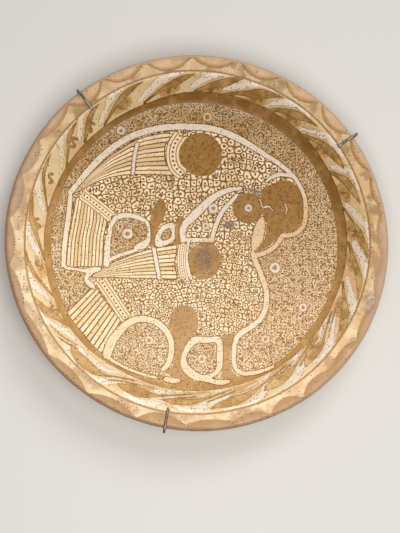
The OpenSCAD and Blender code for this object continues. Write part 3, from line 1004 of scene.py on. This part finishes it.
# How far down the dish a point lies, and a little to the left; tones that follow it are painted brighter
# lower down: painted light
low = ramp(height_on_dish, 85, -100.0)
rosy = over(in_bird, times(ramp(to_right, 0.2, 0.9), ramp(vector("LENGTH", flat), 50, 80)), 0)
# Paler lustre lower down: partly thinner paint, partly painted light that brightens the lower part of the
# dish
thin_and_lit = plus(low, times(plus(patchy, -0.5), 0.8))
ink = blended(thin_and_lit, (94, 59, 14), (168, 117, 54))
pen = blended(thin_and_lit, (98, 60, 10), (148, 100, 38))
cell_pen = blended(thin_and_lit, (106, 70, 18), (150, 104, 44))
mottle = patches(0.34, 3, 0.6, 0.48, 0.64, 0, 0.65)
streaks = ramp(noise(sweep, 1, 4, 0.6), 0.42, 0.7, 0, 0.5)
worn = patches(0.11, 4, 0.6, 0.5, 0.75, 0, 0.4)
on_band = times(ramp(field_in, -12.0, -9.0), over(in_field, 1, 0))
lustre = layered(
    blended(thin_and_lit, (149, 106, 48), (194, 150, 94)),
    (worn, blended(low, (178, 136, 78), (212, 170, 116))),
    (over(in_field, streaks, mottle), ink),
    (times(on_band, ramp(low, 0, 0.45, 0.32, 0)), ink),
)
# Bare glaze tones: painted light, darker at the top of the dish and brighter at the bottom
white = blended(low, (220, 202, 182), (252, 233, 207))
cream = blended(low, (222, 196, 154), (254, 232, 194))
cell_cream = blended(ramp(low, 0, 0.5), (242, 214, 176), (255, 230, 188))
tan = layered(blended(low, (194, 155, 98), (238, 200, 142)), (times(yellow_at, 0.6), (204, 172, 112)))

# Thin wash over the bare glaze: most on the stippled ground, less in the bird and its feathers, least on
# what was reserved, and on the wall mostly outside the clear strips beside the leaves
ground_wash = plus(ramp(cloudy, 0, 1, 0.05, 0.65), over(low, 0.35, 0))
ground_wash = times(ground_wash, over(rosy, 1, 0.4))
field_wash = over(in_bird, ground_wash, ramp(cloudy, 0, 1, 0, 0.5))
feather = node("TexWhiteNoise", {"W": calc("FLOOR", stripe_at)}, noise_dimensions="1D").outputs["Value"]
feather_wash = most(ramp(feather, 0.5, 0.95, 0, 0.75), ramp(cloudy, 0, 1, 0, 0.4))
field_wash = over(bead_mask, over(in_fan, field_wash, feather_wash), 0.2)
spared = most(reserved, eye_mask)
smudge = patches(0.22, 4, 0.65, 0.45, 0.7, 0, 0.35)
spared_wash = plus(
    smudge,
    ramp(height_on_dish, -40.0, -105.0, 0, 0.5),
    times(ramp(to_right, 0.6, 0.9, 0, 0.8), over(low, 1, 0.1)),
)
eye_wash = most(ramp(height_on_dish, 60, 90, 0.2, 0.8), ramp(height_on_dish, 0, -40.0, 0, 0.55))
field_wash = over(spared, field_wash, over(eye_mask, spared_wash, eye_wash))
ragged = jitter(0.16, 3, 0.55, 0.45, 6)
clear = within(plus(white_in, ragged), 0.4)
strip_wash = plus(times(smudge, 0.6), times(streaks, low, 1.2))
wall_wash = over(clear, ramp(cloudy, 0, 1, 0.25, 0.75), strip_wash)
blotch = noise(flat, 0.075, 5, 0.6)
lip_wash = plus(ramp(thin_and_lit, 0.1, 0.9, 0.5, 0.62), times(yellow_at, 0.3))
lip_wash = times(lip_wash, ramp(blotch, 0.38, 0.62, 0.45, 1.35))
on_lip = within(lip_at)
bare_wash = over(in_field, over(on_lip, wall_wash, lip_wash), field_wash)
# The clear strips' white, painted darker at the top and brighter at the bottom as painted light
bright = layered(blended(low, (230, 212, 194), (255, 244, 226)), (times(yellow_at, 0.6), (222, 196, 146)))
wall_ground = blended(over(on_lip, clear, 0), cream, bright)
field_cream = layered(blended(in_bird, cream, cell_cream), (times(rosy, low), (255, 226, 180)))
ground = blended(in_field, wall_ground, blended(spared, field_cream, white))
wash_tone = layered(
    blended(on_lip, tan, blended(low, (186, 146, 98), (228, 190, 144))),
    (times(yellow_at, 0.4), (198, 168, 112)),
    (ramp(to_right, 0.2, 0.9, 0, 0.5), (228, 176, 118)),
)

# The paint on that ground, from the first laid to the last: washes round the curls, lines beside the
# strips, solid lustre that is thinner in places on the wall, the line work, the lip's line, and blushes and
# grime on the lip
flecks = ramp(noise(sweep, 0.9), 0.6, 0.5, over(low, 1, 0.1), 1)
curl_wash = times(within(plus(wash_in, times(ragged, 0.4)), 0.5), flecks)
strip_line = drawn(plus(white_in, ragged), 0.25, 0.3)
strip_line = times(strip_line, over(on_lip, over(in_field, 0.45, 0), 0))
on_wall = times(ramp(lip_at, -14.5, -12.5), patches(0.11, 5, 0.55, 0.38, 0.66, 0.05, 0.68))
on_wall = times(on_wall, ramp(to_right, 0.2, 0.9, 1, 1.8))
hazy = times(patches(0.07, 5, 0.65, 0.45, 0.7, 0, 0.4), over(in_field, 1, 0))
line_pen = layered(
    blended(times(in_bird, over(in_fan, 1, 0)), pen, cell_pen),
    (times(rosy, 0.7), blended(low, (116, 70, 10), (150, 88, 10))),
)
blush = patches(0.13, 5, 0.65, 0.5, 0.72, 0, 0.45)
grime = patches(0.06, 5, 0.65, 0.47, 0.6, 0, 0.65)
colour = layered(
    blended(bare_wash, ground, wash_tone),
    (times(curl_wash, 0.75), blended(low, (176, 132, 70), (214, 168, 104))),
    (strip_line, ink),
    (fill, blended(most(on_wall, hazy), lustre, tan)),
    (times(leaf_rim, fill), ink),
    (line_work, line_pen),
    (times(lip_line, 0.85), blended(low, (140, 96, 40), (170, 122, 62))),
    (times(blush, on_lip), (208, 164, 132)),
    (times(grime, on_lip), blended(low, (138, 100, 60), (186, 150, 106))),
)

# Half-moons on the lip, darkest along their lower edge, and the grey patches: stains where the lustre took
# badly, and painted highlights of light glaring on the lustre
moon_edge = plus(moon_in, times(shake, 1.4), times(ragged, 0.2))
moon_dark = times(ramp(moon_edge, 0, over(low, 5, 9), 1, 0), over(low, 0.95, 0.42), over(mauve_at, 1, 0.4))
half_moon = layered(
    blended(low, (212, 174, 128), (192, 151, 106)),
    (patches(0.09, 4, 0.55, 0.4, 0.7, 0, 0.7), (178, 138, 98)),
    (ramp(blotch, 0.5, 0.68, 0, 0.55), (220, 184, 146)),
    (blush, (204, 160, 130)),
    (times(mauve_at, 0.65), (172, 146, 132)),
    (moon_dark, blended(low, (144, 98, 40), (160, 114, 68))),
)
stained_and_glared = times(stain_and_glare_at, patches(0.4, 4, 0.55, 0.3, 0.6, 0.3, 1))
# One grey-violet tone for the stains and for the painted highlights on the figure
stain_and_glare_tone = blended(on_lip, (122, 98, 84), (158, 130, 118))

# Wear: the edge is rubbed to the clay, its bare clay painted darker towards the lower left as painted shade,
# and pinholes and specks show all over
bare = ramp(plus(edge_at, jitter(0.12, 5, 0.65, 0.5, 0.6)), 0.05, 0.3)
# The bare clay edge: painted shade, darker where the edge faces the lower left
clay_edge = blended(ramp(low_left, -0.6, 0.9), (194, 162, 136), (154, 120, 90))
pin = node("TexVoronoi", {"Vector": flat, "Scale": 0.4}, voronoi_dimensions="2D")
pin_size, pin_kept = node("SeparateXYZ", {0: pin.outputs["Color"]}).outputs[:2]
pin_kept = plus(pin_kept, over(in_field, over(clear, -0.2, 0.2), 0.1))
specks = ramp(calc("SUBTRACT", pin.outputs["Distance"], times(pin_size, 0.24)), 0.02, -0.05)
specks = times(specks, ramp(pin_kept, 0.4, 0.5))
colour = layered(
    colour,
    (ramp(moon_edge, -0.4, 0.6, 0, 0.9), half_moon),
    (ramp(stained_and_glared, 0.1, 0.7, 0, over(in_field, 0.7, 0.75)), stain_and_glare_tone),
    (times(bare, 0.85), clay_edge),
    (times(specks, 0.85), (92, 60, 32)),
)
set_sockets(shader, {
    "Base Color": colour,
    "Roughness": ramp(bare, 0, 1, 0.34, 0.62),
    "Specular IOR Level": 0.2,
    "Normal": bumped(plus(times(noise(flat, 0.25), 0.5), times(specks, -0.4)), 0.25, 0.0005),
})
dress(coat, glaze, "dish", ["face_glaze"])

# Hanger ring
# One length of dark spring-steel wire bent into a ring round the outside of the foot. At its top the wire
# is turned once round on itself, so that it crosses over and makes the eye the dish hangs by.
wire_r, hang_z, ring_r, hang_eye_r = 1, 2.9, 86.2, 4.5
hang_eye_at = np.radians(81)
wire_sides, ring_points, eye_points, sink_length = 16, 240, 40, 14.0


def wire_grid(path, lean, radius, sides, ends=True):
    """Round wire in mm: circles square to the path, each set out from the direction that lean gives, and at
    each end, if it has ends, a half ball of smaller and smaller circles."""
    way = np.gradient(path, axis=0) if ends else np.roll(path, -1, 0) - np.roll(path, 1, 0)
    way /= np.linalg.norm(way, axis=1, keepdims=True)
    up = lean - (lean * way).sum(1, keepdims=True) * way
    up /= np.linalg.norm(up, axis=1, keepdims=True)
    turn = np.linspace(0, 2 * np.pi, sides, endpoint=False)[None, :, None]
    circle = radius * (np.cos(turn) * up[:, None] + np.sin(turn) * np.cross(way, up)[:, None])
    rings = path[:, None] + circle
    if not ends:
        return rings
    close = np.linspace(np.pi / 2, 0, 6)[:-1, None, None]
    first = path[0] - way[0] * radius * np.sin(close) + circle[:1] * np.cos(close)
    last = path[-1] + way[-1] * radius * np.sin(close) + circle[-1:] * np.cos(close)
    return np.concatenate([first, rings, last[::-1]])


def spun(points, angle):
    """Points turned round the dish's axis."""
    x, y, z = np.moveaxis(points, -1, 0)
    return np.stack([x * np.cos(angle) - y * np.sin(angle), x * np.sin(angle) + y * np.cos(angle), z], -1)


def ring_path():
    """The ring once round, then its eye once round the other way, as one closed line. The wire climbs by
    its own thickness round the eye and sinks back along the ring, so it lies on itself where it crosses."""
    ring_turn = np.linspace(0, 2 * np.pi, ring_points, endpoint=False)
    eye_turn = np.linspace(0, 2 * np.pi, eye_points, endpoint=False)
    gone, left = ring_turn * ring_r, (2 * np.pi - ring_turn) * ring_r
    sink = np.exp(-gone / sink_length) - np.exp(-left / sink_length)
    ring = np.stack([ring_r * np.cos(ring_turn), ring_r * np.sin(ring_turn), hang_z + wire_r * sink], -1)
    eye = np.stack([
        ring_r + hang_eye_r - hang_eye_r * np.cos(eye_turn),
        hang_eye_r * np.sin(eye_turn),
        hang_z - wire_r * np.cos(eye_turn / 2),
    ], -1)
    return spun(np.concatenate([ring, eye]), hang_eye_at)


def steel(name, dark, light, rough, metal, glint):
    """Drawn steel wire: patches of a light tone on a dark one, a little rust, and a painted highlight: a
    light streak along the wire where the piece's top attribute nears 1, that is where it faces up."""
    material, shader, place = finish_of(name)
    patch = noise(place, 160, 5, 0.6)
    rust = ramp(noise(place, 420), 0.6, 0.72, 0, 0.55)
    facing = node("Attribute", {}, place.id_data, attribute_name="top").outputs["Fac"]
    # A painted highlight along the wire's upper side, broken into patches
    bare = times(ramp(facing, 0.6, 0.95, 0, glint), ramp(patch, 0.42, 0.56, 0.25, 1))
    set_sockets(shader, {
        "Base Color": layered(
            blended(ramp(patch, 0.35, 0.65), dark, light), (rust, (104, 66, 40)), (bare, (190, 178, 154))
        ),
        "Metallic": ramp(rust, 0, 0.5, metal, 0.6 * metal),
        "Roughness": ramp(patch, 0.3, 0.7, rough, rough + 0.16),
        "Normal": bumped(patch, 0.1, 0.0001),
    })
    return material


# The dark wire gets a painted highlight along its top; the thin spring wire gets none
dark_wire = steel("browned_steel_wire", (30, 25, 20), (58, 50, 42), 0.14, 0.4, 0.7)
ring_wire = wire_grid(ring_path(), np.array([[0, 0, 1.0]]), wire_r, wire_sides, ends=False)
ring = grid_mesh("hanger_ring_wire", ring_wire, rows_join=True)
dress(ring, dark_wire, "dish", ["hanger_ring"])

# Springs
# Three small extension springs wound from thin bright steel wire. Each has an open loop bent up at either
# end, one round the ring and one through its hook's eye, and is stretched a little while it holds the dish.
spring_wire_r, coil_r, coil_pitch, turn_points = 0.3, 2.2, 1.4, 26
loop_seat, hook_eye_r, shank_bend_r, seat_gap, rim_gap = 0.6, 2.2, 5.0, 0.3, 0.45
wrap_r, knuckle_r = edge_r + rim_gap + wire_r, cove_r + body_t + seat_gap + wire_r
hook_at = {"left": np.radians(129), "right": np.radians(34), "bottom": np.radians(260)}
from_cove = edge_c - cove_c
tangent_lean = np.arcsin((knuckle_r - wrap_r) / np.hypot(*from_cove))
close_angle = np.arctan2(from_cove[1], from_cove[0]) + tangent_lean
close_top = off(edge_c, wrap_r, close_angle)
shank_bend = np.array([close_top[0] - (close_top[1] - hang_z) / np.tan(close_angle), hang_z])
hook_eye_x = shank_bend[0] - shank_bend_r * np.tan(close_angle / 2) - hook_eye_r - wire_r
near_loop, far_loop = ring_r + loop_seat, hook_eye_x - hook_eye_r - loop_seat
coil_from, coil_to = near_loop + coil_r + 2 * spring_wire_r, far_loop - coil_r - 2 * spring_wire_r
coil_turns = int((coil_to - coil_from) / coil_pitch)
loop_turn, fine_steps = np.radians(280), 4000
ease_before, ease_length = 1.0, 1.6  # where the winding starts to quicken before the turns, and over how far


def spring_path():
    """A loop, the turns and a loop. The turns wind round the spring's own axis, faster and faster over the
    first bend and slower over the last, so that the wire runs smoothly out of one loop and into the
    other."""
    loop = np.linspace(loop_turn, 0, turn_points)
    first = np.stack([near_loop - coil_r * np.sin(loop), 0 * loop, hang_z + coil_r * np.cos(loop)], -1)
    along = np.linspace(near_loop, far_loop, fine_steps)
    ease = eased(along, coil_from - ease_before, ease_length)
    ease = ease * (1 - eased(along, coil_to + ease_before - ease_length, ease_length))
    wound = np.cumsum(ease)
    wound = wound / wound[-1] * 2 * np.pi * coil_turns
    turns = np.stack([along, coil_r * np.sin(wound), hang_z + coil_r * np.cos(wound)], -1)
    gone = np.concatenate([[0], np.cumsum(np.linalg.norm(np.diff(turns, axis=0), axis=1))])
    even = np.linspace(0, gone[-1], turn_points * coil_turns)[1:-1]
    turns = np.stack([np.interp(even, gone, turns[:, k]) for k in range(3)], -1)
    back = loop[::-1]
    last = np.stack([far_loop + coil_r * np.sin(back), 0 * back, hang_z + coil_r * np.cos(back)], -1)
    path = np.concatenate([first, turns, last])
    middle = np.clip(path[:, :1], near_loop, far_loop) * [1, 0, 0] + [0, 0, hang_z]
    return path, path - middle


bright_wire = steel("thin_spring_wire", (120, 115, 106), (176, 170, 160), 0.24, 0.95, 0.0)
spring_line, spring_lean = spring_path()
for side_name, angle in hook_at.items():
    coil = wire_grid(spun(spring_line, angle), spun(spring_lean, angle), spring_wire_r, 8)
    spring = grid_mesh(side_name + "_coil", coil)
    spring.data.materials.append(bright_wire)
    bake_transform(spring)
    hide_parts(side_name + "_spring")

# Hooks
# Three hooks of the same dark wire. Each starts as a small eye curled in the wire, bends up into a straight
# shank under the wall, goes round the rim's edge and ends in a leg that lies on the lip and holds the dish.
curl_from, curl_to = np.radians(48), np.radians(300)
lead_x, lead_y = 0.9, 0.52  # how far the curl's end pulls the easy curve its own way

# How far each leg reaches in from the rim, and how far its hook stands off the edge
hook_reach = {"left": (18.0, 1.6), "right": (16.0, 2.5), "bottom": (17.5, 0.8)}


def hook_path(reach_in, stand):
    """The hook's line in its own upright plane, with the direction to the inside of each bend: an eye
    curled flat, an easy curve out of it, an arc up, the shank, an arc round the rim's edge, and the leg
    down the lip's slope."""
    lip_way = np.array([np.cos(lip_slope), np.sin(lip_slope)])
    wrap_c = edge_c + (stand - seat_gap) * lip_way
    away = wrap_c - shank_bend
    rise = np.arctan2(away[1], away[0]) - np.arcsin(wrap_r / np.hypot(*away))
    bend_c = np.array([shank_bend[0] - shank_bend_r * np.tan(rise / 2), hang_z + shank_bend_r])
    curl = np.linspace(curl_from, curl_to, 30)
    eye = np.stack([hook_eye_x + hook_eye_r * np.cos(curl), hook_eye_r * np.sin(curl)], -1)
    t = np.linspace(0, 1, 9)[1:-1, None]
    ends = np.array([eye[-1], eye[-1] + [lead_x, lead_y], [bend_c[0] - lead_x, 0], [bend_c[0], 0]])
    lead = np.concatenate([(1 - t) ** 3, 3 * t * (1 - t) ** 2, 3 * t**2 * (1 - t), t**3], 1) @ ends
    flat_part = np.concatenate([eye, lead])
    flat_part = np.concatenate([flat_part, np.full((len(flat_part), 1), hang_z)], 1)
    bend = np.linspace(0, rise, 10)
    wrap_turn = np.linspace(rise, np.pi + lip_slope, 36)
    wrap_end = off(wrap_c, wrap_r, np.pi + lip_slope)
    tip = wrap_end - (reach_in - wire_r - (rim_r - wrap_end[0])) / np.cos(lip_slope) * lip_way
    shank = run(off(bend_c, shank_bend_r, rise), off(wrap_c, wrap_r, rise), 16)[1:]
    leg = run(wrap_end, tip, 12)[1:]
    low_arc, high_arc = off(bend_c, shank_bend_r, bend), off(wrap_c, wrap_r, wrap_turn)
    upright = np.concatenate([low_arc, shank, high_arc, leg, tip[None]])
    lean = np.concatenate(
        [bend, np.full(len(shank), rise), wrap_turn, np.full(len(leg) + 1, np.pi + lip_slope)]
    )
    upright = np.stack([upright[:, 0], 0 * lean, upright[:, 1]], -1)
    lean = np.stack([-np.sin(lean), 0 * lean, np.cos(lean)], -1)
    flat_lean = np.zeros_like(flat_part) + [0, 0, 1]
    return np.concatenate([flat_part, upright]), np.concatenate([flat_lean, lean])


for side_name, angle in hook_at.items():
    line, lean = hook_path(*hook_reach[side_name])
    wire = wire_grid(spun(line, angle), spun(lean, angle), wire_r, wire_sides)
    hook = grid_mesh(side_name + "_hook_wire", wire)
    # How far up each point of the wire faces, which the painted highlight follows
    normals = np.empty(3 * len(hook.data.vertices), np.float32)
    hook.data.vertex_normals.foreach_get("vector", normals)
    hook.data.attributes.new("top", "FLOAT", "POINT").data.foreach_set("value", normals[2::3])
    dress(hook, dark_wire, side_name + "_clip", [side_name + "_hook"])

# Studio
# A plain pale floor that the foot stands on, two soft boxes and a faint even light from all round, and a
# camera at the photograph's angle.
half = 30  # of the floor's width, in metres
floor_mesh = bpy.data.meshes.new("studio_floor")
floor_corners = [(-half, -half, 0), (half, -half, 0), (half, half, 0), (-half, half, 0)]
floor_mesh.from_pydata(floor_corners, [], [(0, 1, 2, 3)])
floor = placed("studio_floor", floor_mesh)
paper, shader = finish_of("pale_studio_paper")[:2]
set_sockets(shader, {"Base Color": tone(222, 219, 213), "Roughness": 0.9})
floor_mesh.materials.append(paper)


def lamp(name, place, aim, width, watts):
    """A square soft box that faces a point."""
    light = bpy.data.lights.new(name, "AREA")
    light.size, light.energy = width, watts
    box = placed(name, light)
    box.location = place
    box.rotation_euler = (Vector(aim) - Vector(place)).to_track_quat("-Z", "Y").to_euler()


lamp("soft_key", (0.6, 1.2, 1.5), (0, 0, 0.03), 0.9, 14.0)
lamp("soft_fill", (0.05, -0.25, 0.8), (0, -0.1, 0.03), 0.5, 4.3)
world = bpy.data.worlds.new("studio")
world.use_nodes = True
set_sockets(world.node_tree.nodes["Background"], {"Color": (1, 0.98, 0.95, 1), "Strength": 0.3})
bpy.context.scene.world = world

camera_data = bpy.data.cameras.new("camera")
camera_data.sensor_fit = "VERTICAL"
camera_data.sensor_height = 36.0
camera_data.lens = 64.07
camera = placed("camera", camera_data)
eye_at, looks_at = Vector((-0.03311, -0.09351, 0.78965)), Vector((0.00148, -0.02152, 0.03616))
ahead = (looks_at - eye_at).normalized()
right_way = ahead.cross(Vector((0, 1, 0))).normalized()
up_way = right_way.cross(ahead)
turned = Matrix((right_way, up_way, -ahead)).transposed()
camera.location = eye_at
camera.rotation_euler = turned.to_euler()
bpy.context.scene.camera = camera
bpy.context.scene.view_settings.view_transform = "Standard"
